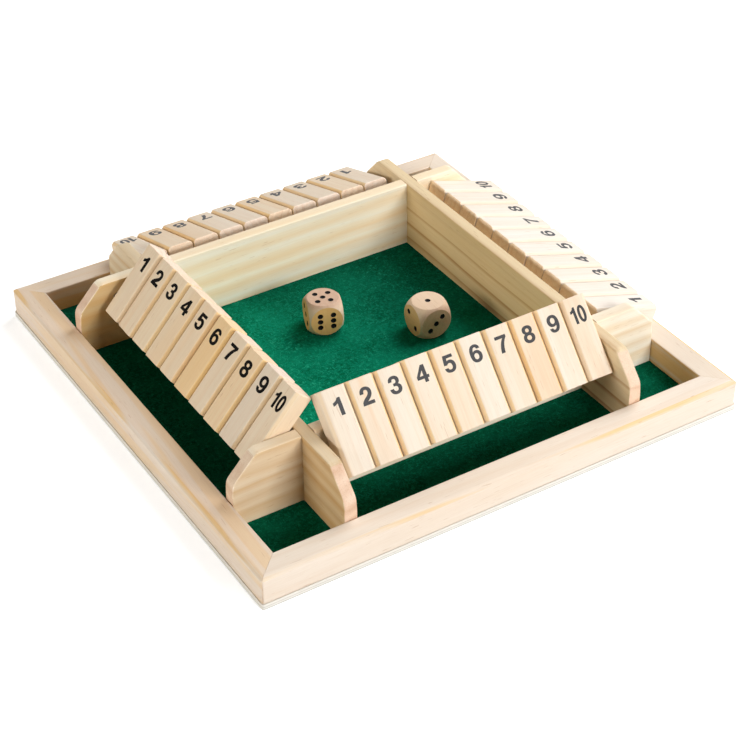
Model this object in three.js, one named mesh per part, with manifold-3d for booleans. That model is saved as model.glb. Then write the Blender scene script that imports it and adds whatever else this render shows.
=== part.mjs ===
// A four-sided shut the box game: a square wooden tray with a felt floor, four crossed boards that
// wall in the dice arena, and along each side of the tray a row of ten number tiles on a steel axle.
// Millimetres, +Z up, origin at the centre of the underside. The front of the tray faces -Y.

import * as THREE from 'three';
import { mergeVertices } from 'three/addons/utils/BufferGeometryUtils.js';
import Module from 'manifold-3d';

// Number tiles: flat blocks, drilled across near one short end
const tilesPerRow = 10;
const tileWidth = 16.3;
const tileLength = 46;
const tileThickness = 12;
const tileEdgeRadius = 2.4;
const tileEndBevel = 1.2;
const pivotFromEnd = 9.2;

// Axles: plain steel rods held in blind holes
const axleRadius = 2;
const axleEmbedment = 5;
const axleOutFromWall = 17;
const axleBelowWallTop = 10.4;

// Arena walls: four boards halved into each other, their ends left long to carry the axles
const wallThickness = 7.5;
const wallHeight = 41.9;
const wallEdgeRadius = 1.3;
const boardEndHeight = 26.5;
const boardChamferLength = 14.4;

// Tray: a base panel under four mitred rails, with a felt floor inside them
const tileRestOnRail = 8.06;
const railWidth = 15.5;
const railHeight = 15.8;
const railEdgeRadius = 3.5;
const trayCornerRadius = 1.5;
const baseThickness = 3.5;
const feltThickness = 1;

// Dice: cubes with their corners turned off to a ball, and dished pips
const dieSide = 20.5;
const dieBallRadius = 13.9;
const pipRadius = 1.2;
const pipDepth = 0.6;
const pipSpacing = 3.85;

// Clearances
const fitGap = 0.3;
const tileGap = 0.5;
const rowEndPlay = 0.33;
const cutOverrun = 1;
const weldDistance = 1e-4;

// Counts of flat steps on round stretches
const edgeSteps = 1;
const railEdgeSteps = 4;
const rodSides = 16;
const holeSides = 12;
const ballSides = 24;
const pipSides = 6;

// Heights worked out from the sizes above
const railTop = baseThickness + railHeight;
const feltTop = baseThickness + feltThickness;
const wallTop = feltTop + wallHeight;
const axleHeight = wallTop - axleBelowWallTop;

// The two edges of the bevel at a tile's number end, on the side that leans over the wall and lies
// on the rail: how far along the tile and how far out from its middle they are
const heel = new THREE.Vector2(tileLength - pivotFromEnd - tileEndBevel, tileThickness / 2);
const toe = new THREE.Vector2(heel.x + tileEndBevel, heel.y - tileEndBevel);

// A raised tile leans in until its back lies on the rounded top edge of the wall
const edgeCentre = new THREE.Vector2(axleOutFromWall + wallEdgeRadius, axleBelowWallTop - wallEdgeRadius);
const backToEdgeCentre = tileThickness / 2 + wallEdgeRadius + fitGap;
const raisedLean = edgeCentre.angle() + Math.asin(backToEdgeCentre / edgeCentre.length());
const inward = new THREE.Vector2(Math.cos(raisedLean), Math.sin(raisedLean));
const tipReach = Math.max(inward.dot(heel), inward.dot(toe));
const tipOverhang = Math.max(tipReach - axleOutFromWall - wallThickness, 0);

// A lowered tile lies on the rail with the lower edge of its number end
const heelDrop = axleHeight - railTop - fitGap;
const loweredSlope = Math.asin(heelDrop / heel.length()) - heel.angle();
const heelReach = Math.sqrt(heel.lengthSq() - heelDrop * heelDrop);
const channelWidth = axleOutFromWall + heelReach - tileRestOnRail;

// A row starts just short of the raised tiles of the row round the corner, whose tips stand out
// over the arena, and ends just short of the wall at its other end
const rowLength = tilesPerRow * tileWidth + (tilesPerRow - 1) * tileGap;
const arenaHalf = (tipOverhang + fitGap + rowLength + rowEndPlay) / 2;
const rowStart = tipOverhang + fitGap - arenaHalf;

// Distances out from the middle of the tray
const wallOuter = arenaHalf + wallThickness;
const axleOut = wallOuter + axleOutFromWall;
const axleHalf = arenaHalf + axleEmbedment;
const railInner = wallOuter + channelWidth;
const trayHalf = railInner + railWidth;
const boardHalf = railInner - fitGap;

// The holes for an axle, through the tiles and into the boards
const holeRadius = axleRadius + fitGap;
const blindHoleDepth = axleEmbedment + fitGap;

// The four sides, each turned about the middle of the tray from the front one
const sides = [
  { name: 'front', turn: 0, raised: true },
  { name: 'right', turn: Math.PI / 2, raised: false },
  { name: 'back', turn: Math.PI, raised: false },
  { name: 'left', turn: -Math.PI / 2, raised: true },
];

// Finishes of the woods, the felt and the steel
const railFinish = { color: 0xe2c6a4, roughness: 0.5 };
const baseFinish = { color: 0xd8d2c6, roughness: 0.8 };
const feltFinish = { color: 0x0b6a4b, roughness: 0.95 };
const wallFinish = { color: 0xe3c48f, roughness: 0.5 };
const steelFinish = { color: 0xb9bcc0, roughness: 0.3, metalness: 1 };
const dieFinish = { color: 0xd9b285, roughness: 0.45 };
const tileFinishes = [
  { color: 0xefdcc0, roughness: 0.45 },
  { color: 0xe9d2b2, roughness: 0.45 },
  { color: 0xf2e2ca, roughness: 0.45 },
  { color: 0xe4cba6, roughness: 0.45 },
];

const wasm = await Module();
wasm.setup();

const part = new THREE.Group();

// Turns a closed geometry into a solid for cutting and joining
function solidOf(geometry) {
  const bare = geometry.clone();
  bare.deleteAttribute('normal');
  bare.deleteAttribute('uv');
  const merged = mergeVertices(bare, weldDistance);
  const mesh = new wasm.Mesh({
    numProp: 3,
    vertProperties: merged.attributes.position.array,
    triVerts: Uint32Array.from(merged.index.array),
  });
  return new wasm.Manifold(mesh);
}

// Turns a solid back into a geometry
function geometryOf(solid) {
  const mesh = solid.getMesh();
  const geometry = new THREE.BufferGeometry();
  geometry.setAttribute('position', new THREE.BufferAttribute(mesh.vertProperties, mesh.numProp));
  geometry.setIndex(new THREE.BufferAttribute(mesh.triVerts, 1));
  geometry.computeVertexNormals();
  return geometry;
}

function subPart(name, geometry, finish) {
  const mesh = new THREE.Mesh(geometry, new THREE.MeshStandardMaterial(finish));
  mesh.name = name;
  return mesh;
}

// A rectangle centred on the origin with all four corners rounded
function roundedRectangle(width, height, radius) {
  const x = width / 2 - radius;
  const y = height / 2 - radius;
  const quarter = Math.PI / 2;
  const shape = new THREE.Shape();
  shape.absarc(x, y, radius, 0, quarter);
  shape.absarc(-x, y, radius, quarter, 2 * quarter);
  shape.absarc(-x, -y, radius, 2 * quarter, 3 * quarter);
  shape.absarc(x, -y, radius, 3 * quarter, 4 * quarter);
  shape.closePath();
  return shape;
}

function extruded(shape, depth, curveSegments) {
  return new THREE.ExtrudeGeometry(shape, { depth, curveSegments, bevelEnabled: false });
}

// A rod along X, centred on the origin
function rodGeometry(radius, length, sidesAround) {
  const rod = new THREE.CylinderGeometry(radius, radius, length, sidesAround);
  rod.rotateZ(Math.PI / 2);
  return rod;
}

// The outline of the tray as a column of the given height
function trayColumn(height) {
  const outline = roundedRectangle(2 * trayHalf, 2 * trayHalf, trayCornerRadius);
  return extruded(outline, height, edgeSteps);
}

function basePanel() {
  return subPart('base_panel', trayColumn(baseThickness), baseFinish);
}

function feltLining() {
  const side = 2 * (railInner - fitGap);
  const felt = new THREE.BoxGeometry(side, side, feltThickness);
  felt.translate(0, 0, baseThickness + feltThickness / 2);
  return subPart('felt_lining', felt, feltFinish);
}

// A rail of the front side: its section is drawn outward and upward, and each point of it ends at
// the mitre plane, as far along the rail as it lies out from the middle
function railGeometry() {
  const section = new THREE.Shape();
  section.moveTo(railInner, baseThickness);
  section.lineTo(trayHalf, baseThickness);
  section.absarc(trayHalf - railEdgeRadius, railTop - railEdgeRadius, railEdgeRadius, 0, Math.PI / 2);
  section.lineTo(railInner, railTop);
  section.closePath();
  const rail = extruded(section, 1, railEdgeSteps);
  const points = rail.attributes.position;
  for (let i = 0; i < points.count; i += 1) {
    const out = points.getX(i);
    const end = 1 - 2 * points.getZ(i);
    points.setXYZ(i, end * (out - fitGap / Math.SQRT2), -out, points.getY(i));
  }
  return geometryOf(solidOf(rail).intersect(solidOf(trayColumn(railTop))));
}

// The long side of a board, drawn along it and upward from the felt
function boardOutline() {
  const outline = new THREE.Shape();
  outline.moveTo(-boardHalf, 0);
  outline.lineTo(boardHalf, 0);
  outline.lineTo(boardHalf, boardEndHeight);
  outline.lineTo(boardHalf - boardChamferLength, wallHeight);
  outline.lineTo(boardChamferLength - boardHalf, wallHeight);
  outline.lineTo(-boardHalf, boardEndHeight);
  outline.closePath();
  return outline;
}

// The section of a board, centred on its thickness, with both top edges rounded
function boardSection() {
  const x = wallThickness / 2;
  const arcX = x - wallEdgeRadius;
  const arcY = wallHeight - wallEdgeRadius;
  const section = new THREE.Shape();
  section.moveTo(-x, 0);
  section.lineTo(x, 0);
  section.absarc(arcX, arcY, wallEdgeRadius, 0, Math.PI / 2);
  section.absarc(-arcX, arcY, wallEdgeRadius, Math.PI / 2, Math.PI);
  section.closePath();
  return section;
}

// A board along X standing on the felt, its middle plane at y = 0 and its arena face towards +Y.
// Boards that run through at the crossings are slotted from below, the other two from above.
function boardGeometry(runsThrough) {
  const bar = extruded(boardSection(), 2 * boardHalf, edgeSteps);
  bar.translate(0, 0, -boardHalf);
  bar.rotateX(Math.PI / 2);
  bar.rotateZ(Math.PI / 2);
  const slab = extruded(boardOutline(), wallThickness + 2 * cutOverrun, edgeSteps);
  slab.translate(0, 0, -wallThickness / 2 - cutOverrun);
  slab.rotateX(Math.PI / 2);
  let board = solidOf(bar).intersect(solidOf(slab));

  const slotWidth = wallThickness + 2 * fitGap;
  const slotDepth = (wallHeight + fitGap) / 2 + cutOverrun;
  const slotTop = runsThrough ? slotDepth - cutOverrun : wallHeight + cutOverrun;
  const holeLength = blindHoleDepth + cutOverrun;
  for (const end of [-1, 1]) {
    const slot = new THREE.BoxGeometry(slotWidth, wallThickness + 2 * cutOverrun, slotDepth);
    slot.translate(end * (arenaHalf + wallThickness / 2), 0, slotTop - slotDepth / 2);
    board = board.subtract(solidOf(slot));
    const hole = new THREE.CylinderGeometry(holeRadius, holeRadius, holeLength, holeSides);
    hole.translate(0, wallThickness / 2 + cutOverrun - holeLength / 2, 0);
    hole.translate(end * axleOut, 0, axleHeight - feltTop);
    board = board.subtract(solidOf(hole));
  }
  return geometryOf(board);
}

// A tile with its pivot at the origin, its number end up and its raised face towards -Y
function tileGeometry() {
  const block = new THREE.ExtrudeGeometry(roundedRectangle(tileWidth, tileThickness, tileEdgeRadius), {
    depth: tileLength - 2 * tileEndBevel,
    curveSegments: edgeSteps,
    bevelSegments: 1,
    bevelThickness: tileEndBevel,
    bevelSize: tileEndBevel,
    bevelOffset: -tileEndBevel,
  });
  block.translate(0, 0, tileEndBevel - pivotFromEnd);
  const hole = rodGeometry(holeRadius, tileWidth + 2 * cutOverrun, holeSides);
  return geometryOf(solidOf(block).subtract(solidOf(hole)));
}

// One side of the game, built as the front one and turned into place
function gameSide({ name, turn, raised }) {
  const side = new THREE.Group();
  side.rotation.z = turn;
  side.add(subPart(`rail_${name}`, railGeometry(), railFinish));

  const runsThrough = name === 'left' || name === 'right';
  const wall = subPart(`wall_${name}`, boardGeometry(runsThrough), wallFinish);
  wall.position.set(0, -arenaHalf - wallThickness / 2, feltTop);
  side.add(wall);

  const axle = subPart(`axle_${name}`, rodGeometry(axleRadius, 2 * axleHalf, rodSides), steelFinish);
  axle.position.set(0, -axleOut, axleHeight);
  side.add(axle);

  const tilt = raised ? raisedLean - Math.PI / 2 : Math.PI / 2 + loweredSlope;
  for (let number = 1; number <= tilesPerRow; number += 1) {
    const label = String(number).padStart(2, '0');
    const finish = tileFinishes[number % tileFinishes.length];
    const tile = subPart(`tile_${name}_${label}`, tileGeometry(), finish);
    const place = rowStart + tileWidth / 2 + (number - 1) * (tileWidth + tileGap);
    tile.position.set(place, -axleOut, axleHeight);
    tile.rotation.x = tilt;
    side.add(tile);
  }
  return side;
}

// Places of the pips on a face, across and up, as shares of the pip spacing
const cornerShares = [[-1, -1], [-1, 1], [1, -1], [1, 1]];
const pipShares = {
  one: [[0, 0]],
  two: [[-1, 1], [1, -1]],
  three: [[-1, -1], [0, 0], [1, 1]],
  four: cornerShares,
  five: [...cornerShares, [0, 0]],
  six: [...cornerShares, [-1, 0], [1, 0]],
};

const xAxis = new THREE.Vector3(1, 0, 0);
const yAxis = new THREE.Vector3(0, 1, 0);
const zAxis = new THREE.Vector3(0, 0, 1);

// The way out of each face of a die with the one on top, and the way across its pips
const dieFaces = [
  { out: zAxis, across: xAxis, places: pipShares.one },
  { out: xAxis.clone().negate(), across: yAxis.clone().negate(), places: pipShares.two },
  { out: yAxis.clone().negate(), across: xAxis, places: pipShares.three },
  { out: yAxis, across: xAxis.clone().negate(), places: pipShares.four },
  { out: xAxis, across: yAxis, places: pipShares.five },
  { out: zAxis.clone().negate(), across: yAxis, places: pipShares.six },
];

// A die centred on the origin
function dieGeometry() {
  const cube = new THREE.BoxGeometry(dieSide, dieSide, dieSide);
  const ball = new THREE.SphereGeometry(dieBallRadius, ballSides, ballSides / 2);
  let die = solidOf(cube).intersect(solidOf(ball));
  const pip = new THREE.CylinderGeometry(pipRadius, pipRadius, pipDepth + cutOverrun, pipSides);
  pip.rotateX(Math.PI / 2);
  pip.translate(0, 0, dieSide / 2 + cutOverrun - (pipDepth + cutOverrun) / 2);
  for (const { out, across, places } of dieFaces) {
    const up = out.clone().cross(across);
    const onFace = new THREE.Matrix4().makeBasis(across, up, out);
    for (const [acrossShare, upShare] of places) {
      const drilled = pip.clone();
      drilled.translate(acrossShare * pipSpacing, upShare * pipSpacing, 0);
      drilled.applyMatrix4(onFace);
      die = die.subtract(solidOf(drilled));
    }
  }
  return geometryOf(die);
}

// The two dice as they lie on the felt: place from the middle, turn, and where each axis of the die
// points, which sets the face on top
const dieOneX = -4.4;
const dieOneY = 35.9;
const dieOneTurn = -0.31;
const dieTwoX = 44.8;
const dieTwoY = 0.3;
const dieTwoTurn = -0.05;
const dice = [
  { name: 'die_one', x: dieOneX, y: dieOneY, turn: dieOneTurn, axes: [zAxis, xAxis, yAxis] },
  { name: 'die_two', x: dieTwoX, y: dieTwoY, turn: dieTwoTurn, axes: [xAxis, yAxis, zAxis] },
];

function dieOnFelt({ name, x, y, turn, axes }) {
  const geometry = dieGeometry();
  geometry.applyMatrix4(new THREE.Matrix4().makeBasis(...axes));
  const die = subPart(name, geometry, dieFinish);
  die.position.set(x, y, feltTop + dieSide / 2);
  die.rotation.z = turn;
  return die;
}

part.add(basePanel());
part.add(feltLining());
for (const side of sides) {
  part.add(gameSide(side));
}
for (const die of dice) {
  part.add(dieOnFelt(die));
}

export default part;
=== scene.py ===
import math
import random

import bmesh
import bpy
from mathutils import Matrix, Vector


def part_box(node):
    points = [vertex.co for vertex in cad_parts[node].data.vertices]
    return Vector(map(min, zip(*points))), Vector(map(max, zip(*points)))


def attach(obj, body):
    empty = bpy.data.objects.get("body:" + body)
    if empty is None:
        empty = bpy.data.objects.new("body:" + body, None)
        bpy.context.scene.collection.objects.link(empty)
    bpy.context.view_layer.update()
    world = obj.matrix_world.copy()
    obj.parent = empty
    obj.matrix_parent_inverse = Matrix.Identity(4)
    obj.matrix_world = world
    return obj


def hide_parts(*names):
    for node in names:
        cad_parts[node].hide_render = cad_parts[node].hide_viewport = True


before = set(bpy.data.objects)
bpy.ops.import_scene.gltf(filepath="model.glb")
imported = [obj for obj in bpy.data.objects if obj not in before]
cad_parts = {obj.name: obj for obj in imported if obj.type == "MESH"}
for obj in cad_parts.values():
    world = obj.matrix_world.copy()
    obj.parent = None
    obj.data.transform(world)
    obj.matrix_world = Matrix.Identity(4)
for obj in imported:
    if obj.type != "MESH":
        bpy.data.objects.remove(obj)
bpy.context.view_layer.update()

# ---- Sizes, in metres ----

mm = 0.001
rail_low, rail_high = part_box("rail_front")
board_low, board_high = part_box("wall_front")
axle_low, axle_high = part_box("axle_front")
base_low, base_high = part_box("base_panel")
felt_low, felt_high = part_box("felt_lining")

tray_half = rail_high.x
arena_half = -board_high.y
rail_edge_radius = 3.5 * mm
rail_inner_edge_radius = 0.9 * mm
tray_corner_radius = 1.5 * mm
arris = 0.25 * mm
seam = 0.06 * mm
touching = 0.02 * mm
felt_nap = 0.12 * mm
felt_sink = 0.05 * mm
felt_swell = 0.03 * mm
felt_fluff = 0.02 * mm
rail_log_step = 0.4
board_log_step = 0.7

board_edge_radius = 0.9 * mm
board_end_height = 26.5 * mm
board_chamfer_length = 14.4 * mm
board_end_radius = 2.5 * mm
joint_gap = 0.12 * mm

axle_radius = 2 * mm
axle_hole_radius = 2.3 * mm
axle_embedment = 5.3 * mm
axle_end_bevel = 0.35 * mm
axle_middle = (axle_low + axle_high) / 2

tile_width = 16.12 * mm
tile_length = 46 * mm
tile_thickness = 12 * mm
tile_chamfer = 1.7 * mm
tile_arris = 0.6 * mm
pivot_from_end = 9.2 * mm
raised_tilt = math.radians(-41.72985)
lowered_tilt = math.radians(107.45113)

numeral_height = 9.4 * mm
numeral_widening = 1.12
numeral_boldness = {"front": 1.5, "left": 2.1, "back": 1.8, "right": 1.6}
numeral_from_end = 5.5 * mm
numeral_gap = 1.3 * mm
ink_thickness = 0.08 * mm
ink_stand = 0.025 * mm
row_shake = 0.1 * mm
row_slip = 0.2 * mm
print_shake = 0.25 * mm
back_ten_print_shift = 1.8 * mm

die_side = 20.5 * mm
die_ball_radius = 13.9 * mm
die_edge_radius = 0.55 * mm
pip_radius = 1.65 * mm
pip_depth = 0.75 * mm
pip_spacing = 3.85 * mm

sides = {"front": 0, "right": 90, "back": 180, "left": -90}
raised_sides = ("front", "left")
tiles_per_row = 10

# Seeded, so that every run draws the same
workshop = random.Random(12)


# ---- Tools of the workshop ----

def take_up(piece):
    """Makes one piece the only one selected, and the active one."""
    bpy.ops.object.select_all(action="DESELECT")
    piece.select_set(True)
    bpy.context.view_layer.objects.active = piece


def settle(piece):
    """Puts the piece's place and turn into its mesh."""
    take_up(piece)
    bpy.ops.object.transform_apply(location=True, rotation=True, scale=True)
    return piece


def start_block(name, low, high):
    """A sawn block between two corners."""
    bpy.ops.object.select_all(action="DESELECT")
    middle = [(a + b) / 2 for a, b in zip(low, high)]
    size = [b - a for a, b in zip(low, high)]
    bpy.ops.mesh.primitive_cube_add(size=1, location=middle, scale=size)
    block = bpy.context.active_object
    block.name = block.data.name = name
    return settle(block)


def start_rod(name, radius, length, middle, along="X", steps=48):
    """A round rod along X or Y."""
    bpy.ops.object.select_all(action="DESELECT")
    turn = (0, math.pi / 2, 0) if along == "X" else (math.pi / 2, 0, 0)
    bpy.ops.mesh.primitive_cylinder_add(
        vertices=steps, radius=radius, depth=length, location=middle, rotation=turn
    )
    rod = bpy.context.active_object
    rod.name = rod.data.name = name
    return settle(rod)


def start_ball(name, radius, middle, steps):
    """A ball round a point."""
    bpy.ops.object.select_all(action="DESELECT")
    bpy.ops.mesh.primitive_uv_sphere_add(
        segments=steps, ring_count=steps // 2, radius=radius, location=middle
    )
    ball = bpy.context.active_object
    ball.name = ball.data.name = name
    return settle(ball)


def round_edges(piece, wanted, radius, steps):
    """Rounds the edges whose two ends pass the test. One step makes a chamfer."""
    take_up(piece)
    bpy.ops.object.mode_set(mode="EDIT")
    bpy.ops.mesh.select_mode(type="EDGE")
    bpy.ops.mesh.select_all(action="DESELECT")
    mesh = bmesh.from_edit_mesh(piece.data)
    for edge in mesh.edges:
        a, b = (corner.co for corner in edge.verts)
        if wanted(a, b):
            edge.select_set(True)
    bmesh.update_edit_mesh(piece.data)
    bpy.ops.mesh.bevel(offset=radius, segments=steps, profile=0.5, affect="EDGES")
    bpy.ops.object.mode_set(mode="OBJECT")


def saw(piece, point, waste, through=True):
    """Saws the piece through at a point and drops what lies on the waste side. If it doesn't go
    through, it only scores a line round the piece, so that its two sides can be finished apart."""
    take_up(piece)
    bpy.ops.object.mode_set(mode="EDIT")
    bpy.ops.mesh.select_all(action="SELECT")
    bpy.ops.mesh.bisect(plane_co=point, plane_no=waste, use_fill=through, clear_outer=through)
    bpy.ops.object.mode_set(mode="OBJECT")


def cut_with(piece, tool, operation="DIFFERENCE", leaves_finish=False):
    """Cuts the piece with a tool, which is then put away. The tool can leave its own finish on the
    cut faces."""
    take_up(piece)
    cut = piece.modifiers.new("cut", "BOOLEAN")
    cut.operation = operation
    cut.object = tool
    cut.solver = "EXACT"
    if leaves_finish:
        cut.material_mode = "TRANSFER"
    bpy.ops.object.modifier_apply(modifier=cut.name)
    put_away(tool)


def break_edges(piece, radius, steps, from_angle):
    """Takes the sharpness off every edge that is sharper than an angle."""
    take_up(piece)
    bevel = piece.modifiers.new("edges", "BEVEL")
    bevel.width = radius
    bevel.segments = steps
    bevel.limit_method = "ANGLE"
    bevel.angle_limit = math.radians(from_angle)
    bpy.ops.object.modifier_apply(modifier=bevel.name)


def smooth(piece, angle=32):
    """Smooth shading that leaves the broad faces flat up to their rounded edges."""
    take_up(piece)
    bpy.ops.object.shade_smooth_by_angle(angle=math.radians(angle))
    flat = piece.modifiers.new("flat faces", "WEIGHTED_NORMAL")
    flat.weight = 100
    flat.keep_sharp = True
    bpy.ops.object.modifier_apply(modifier=flat.name)


def copy_of(master, name):
    """A copy with its own mesh."""
    piece = master.copy()
    piece.data = master.data.copy()
    piece.name = piece.data.name = name
    bpy.context.collection.objects.link(piece)
    return piece


def put_away(*pieces):
    """Clears masters and tools off the bench."""
    for piece in pieces:
        bpy.data.objects.remove(piece, do_unlink=True)


def turn_to(side):
    """Turns a piece of the front side to another side of the tray."""
    return Matrix.Rotation(math.radians(sides[side]), 4, "Z")


def near(a, b):
    return abs(a - b) < touching


def upright(a, b):
    """A test for edges that stand straight up."""
    return near(a.x, b.x) and near(a.y, b.y)


def on_line(y, z):
    """A test for edges along X at one y and z."""
    return lambda a, b: near(a.y, y) and near(b.y, y) and near(a.z, z) and near(b.z, z)


# ---- Grain of the wood ----

def lay_grain(piece, log, tone=(0, 0, 0)):
    """Notes on the mesh where each point lay in the log: metres along the grain in x, and out from
    the pith in y and z. Each corner of a face also notes how far the face is end grain, and its
    tone: how tan, how pink and how streaky it is. The tone is one for the piece, or worked out from
    the face."""
    mesh = piece.data
    for name, kind, domain in (
        ("grain", "FLOAT_VECTOR", "POINT"),
        ("tone", "FLOAT_VECTOR", "CORNER"),
        ("end", "FLOAT", "CORNER"),
    ):
        mesh.attributes.new(name, kind, domain)
    grain, colour, end = (mesh.attributes[name].data for name in ("grain", "tone", "end"))
    for vertex in mesh.vertices:
        grain[vertex.index].vector = log @ vertex.co
    along = (log.to_3x3().transposed() @ Vector((1, 0, 0))).normalized()
    for face in mesh.polygons:
        facing = abs(face.normal.dot(along))
        for corner in face.loop_indices:
            end[corner].value = facing
            colour[corner].vector = tone(face) if callable(tone) else tone


def place_in_log(along, pith=(0, 0), start=0.0, roll=0.0, slant=(0, 0)):
    """Where a piece was cut from its log: the axis that the grain follows, how far away the pith
    is, how far along the log the piece starts, how it is rolled about its grain, and by how many
    degrees it was sawn aslant."""
    if along == "X":
        to_grain = Matrix.Identity(4)
    elif along == "Y":
        to_grain = Matrix.Rotation(-math.pi / 2, 4, "Z")
    else:
        to_grain = Matrix.Rotation(math.pi / 2, 4, "Y")
    return (
        Matrix.Translation((start, pith[0], pith[1]))
        @ Matrix.Rotation(math.radians(slant[0]), 4, "Y")
        @ Matrix.Rotation(math.radians(slant[1]), 4, "Z")
        @ Matrix.Rotation(roll, 4, "X")
        @ to_grain
    )


# ---- Finishes ----

def linear(red, green, blue):
    """A colour as it is seen, 0 to 255, as the shader wants it."""
    out = []
    for value in (red, green, blue):
        share = value / 255
        out.append(share / 12.92 if share <= 0.04045 else ((share + 0.055) / 1.055) ** 2.4)
    return (*out, 1)


class Finish:
    """A material and short ways to add to its nodes."""

    def __init__(self, name, roughness, **sockets):
        self.material = bpy.data.materials.new(name)
        self.material.use_nodes = True
        self.nodes = self.material.node_tree.nodes
        self.links = self.material.node_tree.links
        self.shader = self.nodes["Principled BSDF"]
        self.shader.inputs["Roughness"].default_value = roughness
        for socket, value in sockets.items():
            self.shader.inputs[socket.replace("_", " ")].default_value = value

    def feed(self, socket, value):
        if hasattr(value, "is_output"):
            self.links.new(value, socket)
        elif value is not None:
            socket.default_value = value

    def attribute(self, name, output="Vector"):
        node = self.nodes.new("ShaderNodeAttribute")
        node.attribute_name = name
        return node.outputs[output]

    def place(self):
        return self.nodes.new("ShaderNodeTexCoord").outputs["Object"]

    def stretch(self, vector, scale, move=(0, 0, 0)):
        node = self.nodes.new("ShaderNodeMapping")
        self.feed(node.inputs["Vector"], vector)
        node.inputs["Scale"].default_value = scale
        node.inputs["Location"].default_value = move
        return node.outputs["Vector"]

    def noise(self, vector, scale, detail=2.0, roughness=0.5, output="Fac"):
        node = self.nodes.new("ShaderNodeTexNoise")
        self.feed(node.inputs["Vector"], vector)
        node.inputs["Scale"].default_value = scale
        node.inputs["Detail"].default_value = detail
        node.inputs["Roughness"].default_value = roughness
        return node.outputs[output]

    def sum(self, kind, a, b=None, c=None):
        node = self.nodes.new("ShaderNodeMath")
        node.operation = kind
        for socket, value in zip(node.inputs, (a, b, c)):
            self.feed(socket, value)
        return node.outputs[0]

    def vectors(self, kind, a, b=None, output="Vector"):
        node = self.nodes.new("ShaderNodeVectorMath")
        node.operation = kind
        self.feed(node.inputs[0], a)
        self.feed(node.inputs[1], b)
        return node.outputs[output]

    def split(self, vector):
        node = self.nodes.new("ShaderNodeSeparateXYZ")
        self.feed(node.inputs[0], vector)
        return node.outputs

    def fade(self, value, from_low, from_high, to_low=0.0, to_high=1.0):
        node = self.nodes.new("ShaderNodeMapRange")
        node.interpolation_type = "SMOOTHSTEP"
        self.feed(node.inputs["Value"], value)
        for socket, number in zip(
            ("From Min", "From Max", "To Min", "To Max"), (from_low, from_high, to_low, to_high)
        ):
            node.inputs[socket].default_value = number
        return node.outputs["Result"]

    def ramp(self, value, stops):
        node = self.nodes.new("ShaderNodeValToRGB")
        self.feed(node.inputs["Fac"], value)
        points = node.color_ramp.elements
        while len(points) < len(stops):
            points.new(0.5)
        for point, (place, shade) in zip(points, stops):
            point.position = place
            point.color = shade if hasattr(shade, "__len__") else (shade, shade, shade, 1)
        return node.outputs["Color"]

    def blend(self, share, a, b, kind="MIX"):
        node = self.nodes.new("ShaderNodeMix")
        node.data_type = "RGBA"
        node.blend_type = kind
        node.clamp_factor = True
        self.feed(node.inputs["Factor"], share)
        for socket, value in ((node.inputs[6], a), (node.inputs[7], b)):
            self.feed(socket, value)
        return node.outputs[2]

    def tint(self, share, colour, by):
        """Multiplies the red, green and blue of a colour, as far as the share says."""
        return self.blend(share, colour, (*by, 1), "MULTIPLY")

    def bump(self, height, depth, strength):
        node = self.nodes.new("ShaderNodeBump")
        self.feed(node.inputs["Height"], height)
        node.inputs["Distance"].default_value = depth
        node.inputs["Strength"].default_value = strength
        self.links.new(node.outputs["Normal"], self.shader.inputs["Normal"])

    def colour(self, value):
        self.feed(self.shader.inputs["Base Color"], value)

    def roughness(self, value):
        self.feed(self.shader.inputs["Roughness"], value)


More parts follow.
